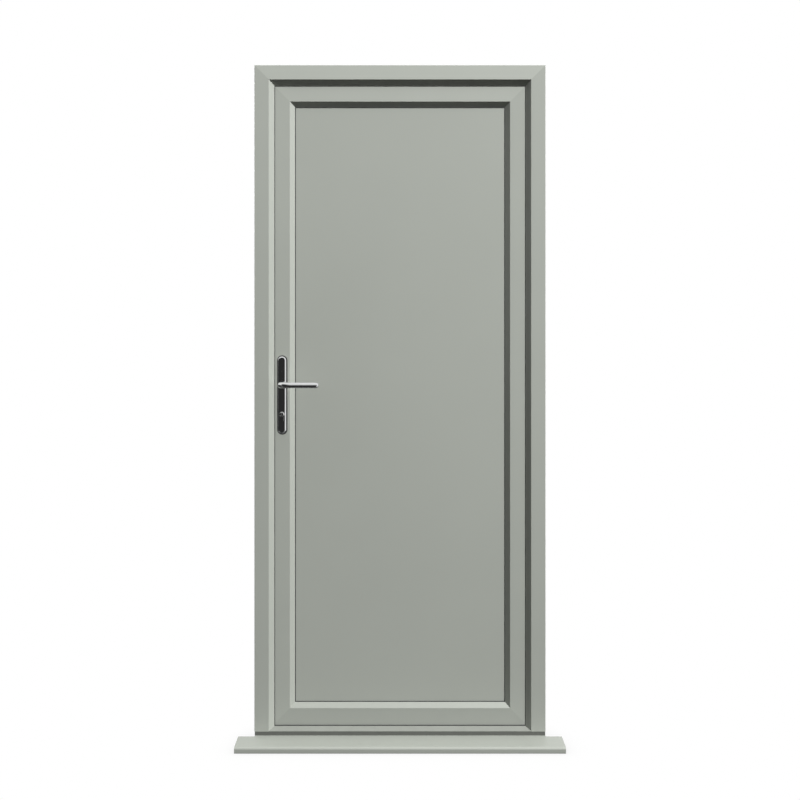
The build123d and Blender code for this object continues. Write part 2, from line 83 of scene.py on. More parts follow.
# Light
KEY_DIRECTION = (0.61, -0.52, 0.66)
KEY_DISTANCE = 16.0
KEY_LIGHT = 4.95
KEY_SIZE = 0.5
BACK_DIRECTION = (-0.50, 0.86, 0.06)
BACK_LIGHT = 2.8
BACK_SOFTNESS = math.radians(25)
SKY_HORIZON = 0.06
SKY_RISE = 0.68
FLOOR_BOUNCE = 0.01
FLOOR_SIZE = 60.0
# The floor's glow is dimmed near the door by an occlusion node, as a painted shadow
FLOOR_PAINTED_SHADOW = 0.80
FLOOR_PAINTED_SHADOW_REACH = 0.10
FLOOR_PAINTED_SHADOW_SAMPLES = 16

# Dark cards that only reflections see
CARD_DISTANCE = 1.2
CARD_WIDTH = 1.5
CARD_HEIGHT = 1.3
CARD_DROP = 0.07
CARD_SHIFT = 0.45
CARD_SIDE_DISTANCE = 1.1
CARD_SIDE_DEPTH = 3.6
CARD_SIDE_HEIGHT = 1.0
CARD_SIDE_RISE = 0.22
CARD_FLOOR_SIZE = 8.0
CARD_LIFT = 1.0 * MM
CARD_SHADE = 0.03
CARD_FADE = 0.28

# Edges, and the share of each slot's colour in the record that a finish takes
MITRE_EDGE = 0.25 * MM
SEAL_EDGE = 0.7 * MM
METAL_EDGE = 0.5 * MM
EDGE_SEGMENTS = 2
WELD_REACH = 0.01 * MM
SHARP_ANGLE = math.radians(30)
NEARLY_UPRIGHT = 0.9
# The head and the top rail are made lighter than the other bars as painted light, for light that falls from
# above
HEAD_PAINTED_LIGHT = 1.16
TOP_RAIL_PAINTED_LIGHT = 1.10
# The bottom rail is made darker than the other bars as painted shade near the threshold and sill
BOTTOM_RAIL_PAINTED_SHADE = 0.93
# The threshold is made darker than its colour in the record as painted shade on its sloping top
THRESHOLD_PAINTED_SHADE = 0.92
BEAD_TONE = 0.98
# The sill is made darker than its colour in the record as painted shade, so that its top looks less lit
SILL_PAINTED_SHADE = 0.97
CHROME_TONE = 1.12

# The middle of a noise's range, where most of it lies, and how strong its finer waves are
NOISE_LOW = 0.3
NOISE_HIGH = 0.7
NOISE_ROUGHNESS = 0.55

# Handle plates, as steps in from the outline and heights. Bends and ends are shares of the size before them
# The dark gasket round each plate is partly a real gasket and partly painted shade: its dark band stands for
# the soft shadow beside the plate
PLATE_SHADOW_GASKET = 3.3 * MM
PLATE_SHADOW_GASKET_HEIGHT = 2.4 * MM
PLATE_SHADOW_GASKET_PROFILE = ((0, 0), (0, 0.6), (0.2, 0.9), (1.2, 1))
PLATE_SHOULDER = 0.8 * MM
PLATE_SHOULDER_BEND_IN = 0.25
PLATE_SHOULDER_BEND_UP = 0.65
PLATE_RIM_WIDTH = 2.8 * MM
PLATE_RIM_BEND_IN = 0.95
PLATE_RIM_END_IN = 1.10
PLATE_RIM_FALL = 0.8 * MM
PLATE_RIM_BEND_DOWN = 0.04
PLATE_ARC_STEPS = 24

# Lever form. A squareness of 2 is a plain oval, and a low bluntness keeps the tip's depth as its height falls
LEVER_LEAN = math.radians(13)
LEVER_SQUARENESS = 3.0
LEVER_HALF_HEIGHT = 9.2 * MM
LEVER_HALF_THICKNESS = 5.5 * MM
LEVER_ELBOW_LENGTH = 22.0 * MM
LEVER_ELBOW_INNER = 4.0 * MM
LEVER_TIP = 9.0 * MM
LEVER_TIP_BLUNTNESS = 0.2
LEVER_SIDES = 48
LEVER_NECK_STEPS = 6
LEVER_ELBOW_STEPS = 28
LEVER_GRIP_STEPS = 12
LEVER_TIP_STEPS = 12

# Screw heads. The crown and the cross recess are shares of the radius, and the pit's floor of the rise
SCREW_RADIUS = 4.0 * MM
SCREW_RISE = 1.0 * MM
SCREW_SIDES = 24
SCREW_CROWN = 0.78
SCREW_MOUTH_LENGTH = 0.58
SCREW_MOUTH_HALF_WIDTH = 0.13
SCREW_PIT_LENGTH = 0.46
SCREW_PIT_HALF_WIDTH = 0.10
SCREW_PIT_FLOOR = 0.2

# Places of the screws on their pieces
FACEPLATE_SCREW_MARGIN = 18.0 * MM
KEEP_SCREW_MARGIN = 14.0 * MM
FLAG_THICKNESS = 4.0 * MM
FLAG_SCREW_COLUMNS = (12.0 * MM, 38.0 * MM)
FLAG_SCREW_RISE = 32.0 * MM
BRACKET_SCREW_RADIUS = 3.5 * MM
BRACKET_SCREW_DEPTH = 11.0 * MM
BRACKET_SCREW_RISE = 30.0 * MM
PLATE_SCREW_RADIUS = 4.5 * MM
PLATE_SCREW_MARGIN = 22.0 * MM
GRUB_RADIUS = 2.6 * MM
GRUB_SINK = 0.4 * MM
GRUB_STAND_OFF = 10.0 * MM

# Fixing caps and cylinder plugs. Each profile is in shares of the radius and the rise
CAP_RADIUS = 8.0 * MM
CAP_RISE = 1.8 * MM
CAP_SIDES = 24
CAP_PROFILE = ((1.0, 0.0), (1.0, 0.35), (0.93, 0.6), (0.75, 0.82), (0.45, 0.96))
PLUG_RADIUS = 8.2 * MM
PLUG_RISE = 1.4 * MM
PLUG_SIDES = 48
PLUG_PROFILE = ((1.0, 0.0), (1.0, 0.2), (0.64, 0.98), (0.60, 1.0))
KEYWAY_HALF_WIDTH = 1.2 * MM
KEYWAY_HALF_LENGTH = 4.4 * MM
KEYWAY_ARC_STEPS = 6

NODES = frame["nodes"]
SLOT_OF = {part["node"]: part["material_slot"] for part in frame["record"]["subparts"]}
COLOUR_OF = {entry["slot"]: tuple(entry["base_color"]) for entry in frame["record"]["materials"]}


# Places read from the frame


def middle(node):
    """The middle of a node's box."""
    low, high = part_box(node)
    return (low + high) / 2


SPINDLE = middle("spindle")
LEAF_MIDDLE_Y = SPINDLE.y
LEVER_LOW, LEVER_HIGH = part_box("outside_lever")
LEVER_NECK_RADIUS = SPINDLE.x - LEVER_LOW.x
CYLINDER_LOW, CYLINDER_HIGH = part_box("lock_cylinder")
CYLINDER_RADIUS = (CYLINDER_HIGH.x - CYLINDER_LOW.x) / 2
CYLINDER_Z = CYLINDER_HIGH.z - CYLINDER_RADIUS


# Materials


class Surface:
    """One material made of nodes, with the patterns that the finishes share."""

    def __init__(self, name, colour, roughness, metallic=0.0):
        self.material = bpy.data.materials.new(name)
        self.material.use_nodes = True
        self.tree = self.material.node_tree
        self.shader = self.tree.nodes["Principled BSDF"]
        self.colour = colour
        self.shader.inputs["Base Color"].default_value = (*colour, 1.0)
        self.shader.inputs["Roughness"].default_value = roughness
        self.shader.inputs["Metallic"].default_value = metallic
        self.normal = None

    def add(self, kind, **values):
        """A node with its named input values."""
        node = self.tree.nodes.new(kind)
        for name, value in values.items():
            node.inputs[name.replace("_", " ")].default_value = value
        return node

    def link(self, start, end):
        """Joins an output to an input."""
        self.tree.links.new(start, end)

    def noise(self, stretch, detail=3.0):
        """Noise in the piece's own space, with this many waves a metre along each axis."""
        place = self.add("ShaderNodeTexCoord")
        mapping = self.add("ShaderNodeMapping", Scale=stretch)
        noise = self.add("ShaderNodeTexNoise", Scale=1.0, Detail=detail, Roughness=NOISE_ROUGHNESS)
        self.link(place.outputs["Object"], mapping.inputs["Vector"])
        self.link(mapping.outputs["Vector"], noise.inputs["Vector"])
        return noise.outputs["Fac"]

    def mapped(self, value, low, high):
        """The middle of a noise's range spread between two values."""
        spread = self.add("ShaderNodeMapRange", To_Min=low, To_Max=high)
        spread.inputs["From Min"].default_value = NOISE_LOW
        spread.inputs["From Max"].default_value = NOISE_HIGH
        self.link(value, spread.inputs["Value"])
        return spread.outputs["Result"]

    def shade(self, value, amount):
        """Makes the colour lighter and darker by a share, following a noise."""
        mix = self.add("ShaderNodeMix")
        mix.data_type = "RGBA"
        dark, light = [tuple(c * (1 + side * amount) for c in self.colour) + (1.0,) for side in (-1, 1)]
        colours = [socket for socket in mix.inputs if socket.type == "RGBA"]
        colours[0].default_value = dark
        colours[1].default_value = light
        self.link(self.mapped(value, 0.0, 1.0), mix.inputs["Factor"])
        result = [socket for socket in mix.outputs if socket.type == "RGBA"][0]
        self.link(result, self.shader.inputs["Base Color"])

    def roughen(self, value, low, high):
        """Lets the gloss follow a noise."""
        self.link(self.mapped(value, low, high), self.shader.inputs["Roughness"])

    def bump(self, value, depth):
        """Raises the surface by a depth in metres, on top of what came before."""
        bump = self.add("ShaderNodeBump", Strength=1.0, Distance=depth)
        self.link(value, bump.inputs["Height"])
        if self.normal:
            self.link(self.normal, bump.inputs["Normal"])
        self.normal = bump.outputs["Normal"]
        self.link(self.normal, self.shader.inputs["Normal"])


def evenly(waves):
    """Noise scale that is the same along every axis."""
    return (waves, waves, waves)


def along(axis, across_waves, along_waves):
    """Noise scale for lines that run along one axis."""
    stretch = [across_waves] * 3
    stretch["XYZ".index(axis)] = along_waves
    return tuple(stretch)


def toned(slot, tone):
    """A slot's colour from the record, made lighter or darker."""
    return tuple(c * tone for c in COLOUR_OF[slot])


def upvc(name, slot, axis, tone=1.0):
    """Satin extruded plastic: faint draw lines along the bar, a fine matt grain and slow changes of tone."""
    surface = Surface(name, toned(slot, tone), roughness=0.42)
    surface.shade(surface.noise(evenly(5)), amount=0.012)
    surface.roughen(surface.noise(evenly(60)), low=0.41, high=0.45)
    surface.bump(surface.noise(along(axis, 420, 3)), depth=0.012 * MM)
    surface.bump(surface.noise(evenly(2600), detail=2.0), depth=0.010 * MM)
    return surface.material


def panel_skin():
    """The infill panel's satin skin: broad and very shallow unevenness under a fine grain."""
    surface = Surface("panel_skin", COLOUR_OF["panel_skin"], roughness=0.45)
    surface.shade(surface.noise(evenly(3)), amount=0.012)
    surface.roughen(surface.noise(evenly(40)), low=0.44, high=0.47)
    surface.bump(surface.noise(evenly(9), detail=1.0), depth=0.05 * MM)
    surface.bump(surface.noise(evenly(2400), detail=2.0), depth=0.012 * MM)
    return surface.material


def coated_metal(name, slot, tone=1.0):
    """Powder coat: a soft orange peel and a little rubbing."""
    surface = Surface(name, toned(slot, tone), roughness=0.45)
    surface.shade(surface.noise(evenly(30)), amount=0.03)
    surface.roughen(surface.noise(evenly(140)), low=0.36, high=0.54)
    surface.bump(surface.noise(evenly(700)), depth=0.03 * MM)
    return surface.material


def rubber():
    """Matt black sealing rubber."""
    surface = Surface("seal_rubber", COLOUR_OF["seal_rubber"], roughness=0.75)
    surface.shade(surface.noise(evenly(80)), amount=0.15)
    surface.roughen(surface.noise(evenly(300)), low=0.65, high=0.85)
    surface.bump(surface.noise(evenly(1500)), depth=0.03 * MM)
    return surface.material


def polished_chrome():
    """Polished plating with faint smears."""
    surface = Surface("handle_chrome", toned("handle_chrome", CHROME_TONE), roughness=0.08, metallic=1.0)
    surface.shade(surface.noise(evenly(25)), amount=0.03)
    surface.roughen(surface.noise(evenly(90)), low=0.05, high=0.12)
    surface.bump(surface.noise(evenly(35)), depth=0.004 * MM)
    return surface.material


def satin_chrome():
    """The key cylinder's satin plating, drawn along its length."""
    surface = Surface("cylinder_chrome", COLOUR_OF["cylinder_chrome"], roughness=0.14, metallic=1.0)
    surface.shade(surface.noise(evenly(60)), amount=0.04)
    surface.roughen(surface.noise(along("Y", 400, 20)), low=0.10, high=0.20)
    surface.bump(surface.noise(along("Y", 2500, 30)), depth=0.006 * MM)
    return surface.material


def brushed_steel():
    """Lock steel brushed along its length."""
    surface = Surface("lock_steel", COLOUR_OF["lock_steel"], roughness=0.34, metallic=1.0)
    surface.shade(surface.noise(evenly(15)), amount=0.05)
    surface.roughen(surface.noise(along("Z", 900, 12)), low=0.26, high=0.44)
    surface.bump(surface.noise(along("Z", 3200, 25)), depth=0.010 * MM)
    return surface.material


def screw_zinc():
    """Bright zinc plating on the screws."""
    surface = Surface("screw_zinc", COLOUR_OF["lock_steel"], roughness=0.30, metallic=1.0)
    surface.shade(surface.noise(evenly(150)), amount=0.08)
    surface.roughen(surface.noise(evenly(500)), low=0.22, high=0.42)
    surface.bump(surface.noise(evenly(1800)), depth=0.010 * MM)
    return surface.material


MATERIALS = {
    "upvc_upright": upvc("upvc_upright", "profile_upvc", "Z"),
    "upvc_head_painted_light": upvc("upvc_head_painted_light", "profile_upvc", "X", HEAD_PAINTED_LIGHT),
    "upvc_top_rail_painted_light": upvc("upvc_top_rail_painted_light", "profile_upvc", "X", TOP_RAIL_PAINTED_LIGHT),
    "upvc_bottom_rail_painted_shade": upvc("upvc_bottom_rail_painted_shade", "profile_upvc", "X", BOTTOM_RAIL_PAINTED_SHADE),
    "sill_upvc": upvc("sill_upvc", "sill_upvc", "X", SILL_PAINTED_SHADE),
    "bead_upvc": upvc("bead_upvc", "profile_upvc", "Z", BEAD_TONE),
    "panel_skin": panel_skin(),
    "threshold_paint": coated_metal("threshold_paint", "threshold_paint", THRESHOLD_PAINTED_SHADE),
    # The base bar under the frame takes its dark colour from the record: painted shade, standing for the
    # shade in the recess under the frame
    "threshold_base_dark": coated_metal("threshold_base_dark", "threshold_base_dark"),
    "hinge_paint": coated_metal("hinge_paint", "hinge_paint"),
    "seal_rubber": rubber(),
    "handle_chrome": polished_chrome(),
    "cylinder_chrome": satin_chrome(),
    "lock_steel": brushed_steel(),
    "screw_zinc": screw_zinc(),
}


def material_for(node):
    """The finish of one node of the frame."""
    slot = SLOT_OF[node]
    if slot != "profile_upvc":
        return MATERIALS[slot]
    if node.startswith("glazing_bead"):
        return MATERIALS["bead_upvc"]
    if node == "frame_head":
        return MATERIALS["upvc_head_painted_light"]
    if node == "leaf_top_rail":
        return MATERIALS["upvc_top_rail_painted_light"]
    if node == "leaf_bottom_rail":
        return MATERIALS["upvc_bottom_rail_painted_shade"]
    return MATERIALS["upvc_upright"]


def soften(piece, width):
    """Joins the split corners of a piece and rounds its sharp edges a little."""
    weld = piece.modifiers.new("joined_corners", "WELD")
    weld.merge_threshold = WELD_REACH
    bevel = piece.modifiers.new("soft_edges", "BEVEL")
    bevel.width = width
    bevel.segments = EDGE_SEGMENTS
    bevel.limit_method = "ANGLE"
    bevel.angle_limit = SHARP_ANGLE
    flat = piece.modifiers.new("flat_faces", "WEIGHTED_NORMAL")
    flat.keep_sharp = True


def edge_for(slot):
    """How far the sharp edges of one finish are rounded."""
    if slot == "seal_rubber":
        return SEAL_EDGE
    if slot in ("profile_upvc", "sill_upvc", "panel_skin"):
        return MITRE_EDGE
    return METAL_EDGE


def dress_nodes():
    """Gives every node of the frame its finish and soft edges."""
    for name, piece in NODES.items():
        piece.material_slots[0].material = material_for(name)
        soften(piece, edge_for(SLOT_OF[name]))


# Mesh building


def loop(bm, points):
    """A ring of new vertices."""
    return [bm.verts.new(point) for point in points]


def circle(radius, height, sides):
    """Points of a circle round the local Z axis."""
    turns = [math.tau * i / sides for i in range(sides)]
    return [(radius * math.cos(turn), radius * math.sin(turn), height) for turn in turns]


def cross(length, half_width, height):
    """Points of a cross-shaped recess, anticlockwise."""
    arm = [(length, -half_width), (length, half_width), (half_width, half_width)]
    points = []
    for quarter in range(4):
        turn = Matrix.Rotation(quarter * math.pi / 2, 2)
        points += [turn @ Vector(point) for point in arm]
    return [(point.x, point.y, height) for point in points]


def slot_outline(half_width, half_length, height, steps):
    """Points of a slot with round ends, anticlockwise, long in local Y."""
    points = []
    for side in (1, -1):
        centre = side * (half_length - half_width)
        for i in range(steps + 1):
            turn = math.pi * i / steps + (0 if side > 0 else math.pi)
            points.append((half_width * math.cos(turn), centre + half_width * math.sin(turn), height))
    return points


def bridge(bm, first, second):
    """Faces between two rings with the same number of vertices."""
    count = len(first)
    for i in range(count):
        after = (i + 1) % count
        bm.faces.new((first[i], first[after], second[after], second[i]))


def bridge_all(bm, rings):
    """Faces between each ring and the next."""
    for first, second in zip(rings, rings[1:]):
        bridge(bm, first, second)


def fill_between(bm, outer, inner):
    """Faces between two flat rings, one inside the other."""
    edges = []
    for ring in (outer, inner):
        for i, vertex in enumerate(ring):
            other = ring[(i + 1) % len(ring)]
            edges.append(bm.edges.get((vertex, other)) or bm.edges.new((vertex, other)))
    bmesh.ops.triangle_fill(bm, edges=edges, use_beauty=True, use_dissolve=False)


def placed(bm, vertices, place):
    """Moves new vertices from their local place."""
    bmesh.ops.transform(bm, matrix=place, verts=vertices)


def facing_place(point, outward):
    """A local frame at a point: its Z looks outward and its Y is as near to up as it can be."""
    z = Vector(outward).normalized()
    up = Vector((0, 0, 1)) if abs(z.z) < NEARLY_UPRIGHT else Vector((0, 1, 0))
    x = up.cross(z).normalized()
    rotation = Matrix((x, z.cross(x), z)).transposed().to_4x4()
    return Matrix.Translation(point) @ rotation


def piece_from(name, bm, body, material):
    """Makes an object of a mesh, shades it, and lets it ride on its body."""
    bmesh.ops.recalc_face_normals(bm, faces=bm.faces)
    for face in bm.faces:
        face.smooth = True
    for edge in bm.edges:
        if len(edge.link_faces) == 2 and edge.calc_face_angle() > SHARP_ANGLE:
            edge.smooth = False
    mesh = bpy.data.meshes.new(name)
    bm.to_mesh(mesh)
    bm.free()
    piece = bpy.data.objects.new(name, mesh)
    bpy.context.scene.collection.objects.link(piece)
    mesh.materials.append(material)
    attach(piece, body)
    return piece


# Screws, caps and the cylinder's plugs


def add_screw(bm, point, outward, radius):
    """One raised head with a cross recess."""
    rim = loop(bm, circle(radius, 0, SCREW_SIDES))
    crown = loop(bm, circle(SCREW_CROWN * radius, SCREW_RISE, SCREW_SIDES))
    mouth = loop(bm, cross(SCREW_MOUTH_LENGTH * radius, SCREW_MOUTH_HALF_WIDTH * radius, SCREW_RISE))
    pit_height = SCREW_PIT_FLOOR * SCREW_RISE
    pit = loop(bm, cross(SCREW_PIT_LENGTH * radius, SCREW_PIT_HALF_WIDTH * radius, pit_height))
    bridge(bm, rim, crown)
    fill_between(bm, crown, mouth)
    bridge(bm, mouth, pit)
    bm.faces.new(pit)
    bm.faces.new(list(reversed(rim)))
    placed(bm, rim + crown + mouth + pit, facing_place(point, outward))


def screws(name, body, places, radius=SCREW_RADIUS):
    """A set of screws on one body, each place a point and an outward direction."""
    bm = bmesh.new()
    for point, outward in places:
        add_screw(bm, point, outward, radius)
    piece_from(name, bm, body, MATERIALS["screw_zinc"])


def faceplate_screws():
    """Screws down the lock faceplate, clear of its bolts."""
    low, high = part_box("lock_faceplate")
    hook_low, hook_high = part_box("hook_bolt_bottom")
    top_low, top_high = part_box("hook_bolt_top")
    dead_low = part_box("deadbolt")[0]
    latch_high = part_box("latch_bolt")[1]
    margin = FACEPLATE_SCREW_MARGIN
    heights = [low.z + margin, hook_low.z - margin, hook_high.z + margin, dead_low.z - margin]
    heights += [latch_high.z + margin, top_low.z - margin, top_high.z + margin, high.z - margin]
    y = (low.y + high.y) / 2
    screws("faceplate_screws", "leaf", [((low.x, y, z), (-1, 0, 0)) for z in heights])


def keep_screws():
    """Two screws in each keep."""
    places = []
    for name in ("keep_bottom", "keep_centre", "keep_top"):
        low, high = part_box(name)
        for z in (low.z + KEEP_SCREW_MARGIN, high.z - KEEP_SCREW_MARGIN):
            places.append(((high.x, (low.y + high.y) / 2, z), (1, 0, 0)))
    screws("keep_screws", "frame", places)


def hinge_screws():
    """Four screws in each flag and two in the side of each bracket."""
    flag_places = []
    bracket_places = []
    for level in ("bottom", "middle", "top"):
        low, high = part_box("hinge_flag_" + level)
        face_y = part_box("leaf_hinge_stile")[1].y + FLAG_THICKNESS
        middle_z = (low.z + high.z) / 2
        for column in FLAG_SCREW_COLUMNS:
            for z in (middle_z - FLAG_SCREW_RISE, middle_z + FLAG_SCREW_RISE):
                flag_places.append(((low.x + column, face_y, z), (0, 1, 0)))
        low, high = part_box("hinge_bracket_" + level)
        for z in (middle_z - BRACKET_SCREW_RISE, middle_z + BRACKET_SCREW_RISE):
            bracket_places.append(((high.x, low.y + BRACKET_SCREW_DEPTH, z), (1, 0, 0)))
    screws("hinge_flag_screws", "leaf", flag_places)
    screws("hinge_bracket_screws", "frame", bracket_places, BRACKET_SCREW_RADIUS)


def inside_plate_screws():
    """The two screws that draw the plates together, with their heads inside."""
    low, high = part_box("inside_plate")
    heights = (low.z + PLATE_SCREW_MARGIN, high.z - PLATE_SCREW_MARGIN)
    places = [((SPINDLE.x, high.y, z), (0, 1, 0)) for z in heights]
    screws("inside_plate_screws", "leaf", places, PLATE_SCREW_RADIUS)


def fixing_caps():
    """Domed covers over the frame fixings, in the rebate of both jambs."""
    heights = [
        mount["pos_m"][2] + side * mount["dims"]["spacing_y_mm"] * MM / 2
        for mount in frame["record"]["mounts"]
        if mount["name"].startswith("lock_jamb_fixings")
        for side in (-1, 1)
    ]
    keep_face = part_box("keep_centre")[0]
    depth = middle("keep_centre").y
    bm = bmesh.new()
    for side in (-1, 1):
        for z in heights:
            rings = [loop(bm, circle(r * CAP_RADIUS, h * CAP_RISE, CAP_SIDES)) for r, h in CAP_PROFILE]
            bridge_all(bm, rings)
            bm.faces.new(rings[-1])
            bm.faces.new(list(reversed(rings[0])))
            place = facing_place((-side * keep_face.x, depth, z), (-side, 0, 0))
            placed(bm, [vertex for ring in rings for vertex in ring], place)
    piece_from("fixing_caps", bm, "frame", MATERIALS["upvc_upright"])


def cylinder_plug(name, face_y, outward):
    """The turning plug at one end of the cylinder: a disc with a broad bevel round the keyway."""
    bm = bmesh.new()
    rings = [loop(bm, circle(r * PLUG_RADIUS, h * PLUG_RISE, PLUG_SIDES)) for r, h in PLUG_PROFILE]
    mouth, foot = [
        loop(bm, slot_outline(KEYWAY_HALF_WIDTH, KEYWAY_HALF_LENGTH, height, KEYWAY_ARC_STEPS))
        for height in (PLUG_RISE, 0.0)
    ]
    bridge_all(bm, rings)
    fill_between(bm, rings[-1], mouth)
    bridge(bm, mouth, foot)
    fill_between(bm, rings[0], foot)
    vertices = [vertex for ring in rings + [mouth, foot] for vertex in ring]
    placed(bm, vertices, facing_place((SPINDLE.x, face_y, CYLINDER_Z), (0, outward, 0)))
    piece_from(name, bm, "leaf", MATERIALS["cylinder_chrome"])


# Handles


def stepped_slot(name, outline, shape, place, material):
    """A long piece with round ends: closed rings stepped in from its outline at rising heights."""
    half_width, half_length = outline
    bm = bmesh.new()
    rings = []
    for inset, height in shape:
        points = slot_outline(half_width - inset, half_length - inset, height, PLATE_ARC_STEPS)
        rings.append(loop(bm, points))
    bridge_all(bm, rings)
    bm.faces.new(rings[-1])
    bm.faces.new(list(reversed(rings[0])))
    placed(bm, bm.verts, place)
    return piece_from(name, bm, "leaf", material)


def handle_plate(node, outward):
    """A polished plate with a bevelled rim and soft shoulders, on a dark rubber gasket that also stands in
    for the soft shadow beside the plate.
    """
    low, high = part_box(node)
    centre = (low + high) / 2
    leaf_y = high.y if outward < 0 else low.y
    place = facing_place((centre.x, leaf_y, centre.z), (0, outward, 0))
    outline = ((high.x - low.x) / 2, (high.z - low.z) / 2)
    top = high.y - low.y
    rim = PLATE_SHADOW_GASKET + PLATE_SHOULDER
    wall_top = top - PLATE_RIM_FALL - PLATE_SHOULDER
    bend_in = PLATE_SHADOW_GASKET + PLATE_SHOULDER_BEND_IN * PLATE_SHOULDER
    plate_shape = [
        (PLATE_SHADOW_GASKET, 0),
        (PLATE_SHADOW_GASKET, wall_top),
        (bend_in, wall_top + PLATE_SHOULDER_BEND_UP * PLATE_SHOULDER),
        (rim, wall_top + PLATE_SHOULDER),
        (rim + PLATE_RIM_BEND_IN * PLATE_RIM_WIDTH, top - PLATE_RIM_BEND_DOWN * PLATE_RIM_FALL),
        (rim + PLATE_RIM_END_IN * PLATE_RIM_WIDTH, top),
    ]
    shadow_band_shape = [(step * PLATE_SHADOW_GASKET, rise * PLATE_SHADOW_GASKET_HEIGHT) for step, rise in PLATE_SHADOW_GASKET_PROFILE]
    plate = stepped_slot(
        node + "_polished", outline, plate_shape, place, MATERIALS["handle_chrome"]
    )
    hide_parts(node)
    # The gasket is a dark part that also stands in for the shadow beside the plate
    stepped_slot(node + "_gasket_and_shadow", outline, shadow_band_shape, place, MATERIALS["seal_rubber"])


def smooth_step(value):
    """An even change from 0 to 1 that starts and ends gently."""
    return value * value * (3 - 2 * value)


def lever_stations(grip_y, grip_half_depth):
    """Sections along the lever: place, outward direction, half depth, share of the grip's form, and size."""
    left = Vector((-1, 0, 0))
    front = Vector((0, -1, 0))
    pivot_x = SPINDLE.x + LEVER_NECK_RADIUS + LEVER_ELBOW_LENGTH
    pivot_y = grip_y + grip_half_depth + LEVER_ELBOW_INNER
    pivot = Vector((pivot_x, pivot_y, SPINDLE.z))
    stations = []
    for i in range(LEVER_NECK_STEPS):
        y = LEVER_HIGH.y + (pivot.y - LEVER_HIGH.y) * i / LEVER_NECK_STEPS
        stations.append((Vector((SPINDLE.x, y, SPINDLE.z)), left, LEVER_NECK_RADIUS, 0.0, 1.0))
    thinning = 1 - LEVER_HALF_THICKNESS / grip_half_depth
    for i in range(LEVER_ELBOW_STEPS):
        turn = math.pi / 2 * i / LEVER_ELBOW_STEPS
        across = left * math.cos(turn)
        forward = front * math.sin(turn)
        inner = pivot + across * LEVER_ELBOW_LENGTH + forward * LEVER_ELBOW_INNER
        outer = inner + across * 2 * LEVER_NECK_RADIUS + forward * 2 * grip_half_depth
        share = smooth_step(i / LEVER_ELBOW_STEPS)
        half_depth = (outer - inner).length / 2 * (1 - share * thinning)
        stations.append(((outer + inner) / 2, (outer - inner).normalized(), half_depth, share, 1.0))
    stop_x = LEVER_HIGH.x - LEVER_TIP
    for i in range(LEVER_GRIP_STEPS):
        x = pivot.x + (stop_x - pivot.x) * i / LEVER_GRIP_STEPS
        stations.append((Vector((x, grip_y, SPINDLE.z)), front, LEVER_HALF_THICKNESS, 1.0, 1.0))
    for i in range(LEVER_TIP_STEPS):
        turn = math.pi / 2 * i / LEVER_TIP_STEPS
        place = Vector((stop_x + LEVER_TIP * math.sin(turn), grip_y, SPINDLE.z))
        stations.append((place, front, LEVER_HALF_THICKNESS, 1.0, math.cos(turn)))
    return stations


def signed_power(value, power):
    """A power that keeps the sign."""
    return math.copysign(abs(value) ** power, value)


def lever_ring(station):
    """One section: round at the neck, a leaning oval with flatter faces along the grip, low at the tip."""
    centre, outer, half_depth, share, size = station
    up = Vector((0, 0, 1))
    lean = LEVER_LEAN * share
    tall = math.cos(lean) * up - math.sin(lean) * outer
    deep = math.cos(lean) * outer + math.sin(lean) * up
    half_height = LEVER_NECK_RADIUS + (LEVER_HALF_HEIGHT - LEVER_NECK_RADIUS) * share
    power = 2 / (2 + (LEVER_SQUARENESS - 2) * share)
    points = []
    for i in range(LEVER_SIDES):
        turn = math.tau * i / LEVER_SIDES
        rise = half_height * signed_power(math.sin(turn), power)
        reach = half_depth * signed_power(math.cos(turn), power)
        points.append(centre + size * rise * tall + size ** LEVER_TIP_BLUNTNESS * reach * deep)
    return points


def lever(node, mirrored):
    """A smooth lever in place of the plain one, on one side of the leaf."""
    reach_power = LEVER_SQUARENESS / (LEVER_SQUARENESS - 1)
    reaches = (LEVER_HALF_HEIGHT * math.sin(LEVER_LEAN), LEVER_HALF_THICKNESS * math.cos(LEVER_LEAN))
    grip_half_depth = sum(reach ** reach_power for reach in reaches) ** (1 / reach_power)
    grip_y = LEVER_LOW.y + grip_half_depth
    bm = bmesh.new()
    rings = [loop(bm, lever_ring(station)) for station in lever_stations(grip_y, grip_half_depth)]
    bridge_all(bm, rings)
    tip = bm.verts.new((LEVER_HIGH.x, grip_y, SPINDLE.z))
    last = rings[-1]
    for i, vertex in enumerate(last):
        bm.faces.new((vertex, last[(i + 1) % len(last)], tip))
    bm.faces.new(list(reversed(rings[0])))
    if mirrored:
        about_leaf = Matrix.Translation((0, 2 * LEAF_MIDDLE_Y, 0)) @ Matrix.Scale(-1, 4, (0, 1, 0))
        bmesh.ops.transform(bm, matrix=about_leaf, verts=bm.verts)
    piece = piece_from(node + "_polished", bm, "levers", MATERIALS["handle_chrome"])
    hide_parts(node)


def lever_grub_screws():
    """The small screw under each lever's neck that holds it to the spindle."""
    outside_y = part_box("outside_plate")[0].y - GRUB_STAND_OFF
    inside_y = 2 * LEAF_MIDDLE_Y - outside_y
    z = SPINDLE.z - LEVER_NECK_RADIUS + GRUB_SINK
    places = [((SPINDLE.x, y, z), (0, 0, -1)) for y in (outside_y, inside_y)]
    screws("lever_grub_screws", "levers", places, GRUB_RADIUS)


# Stage


def square(name, half, material):
    """A flat square round its own middle."""
    corners = [(-half, -half, 0), (half, -half, 0), (half, half, 0), (-half, half, 0)]
    mesh = bpy.data.meshes.new(name)
    mesh.from_pydata(corners, [], [(0, 1, 2, 3)])
    mesh.materials.append(material)
    sheet = bpy.data.objects.new(name, mesh)
    bpy.context.scene.collection.objects.link(sheet)
    return sheet


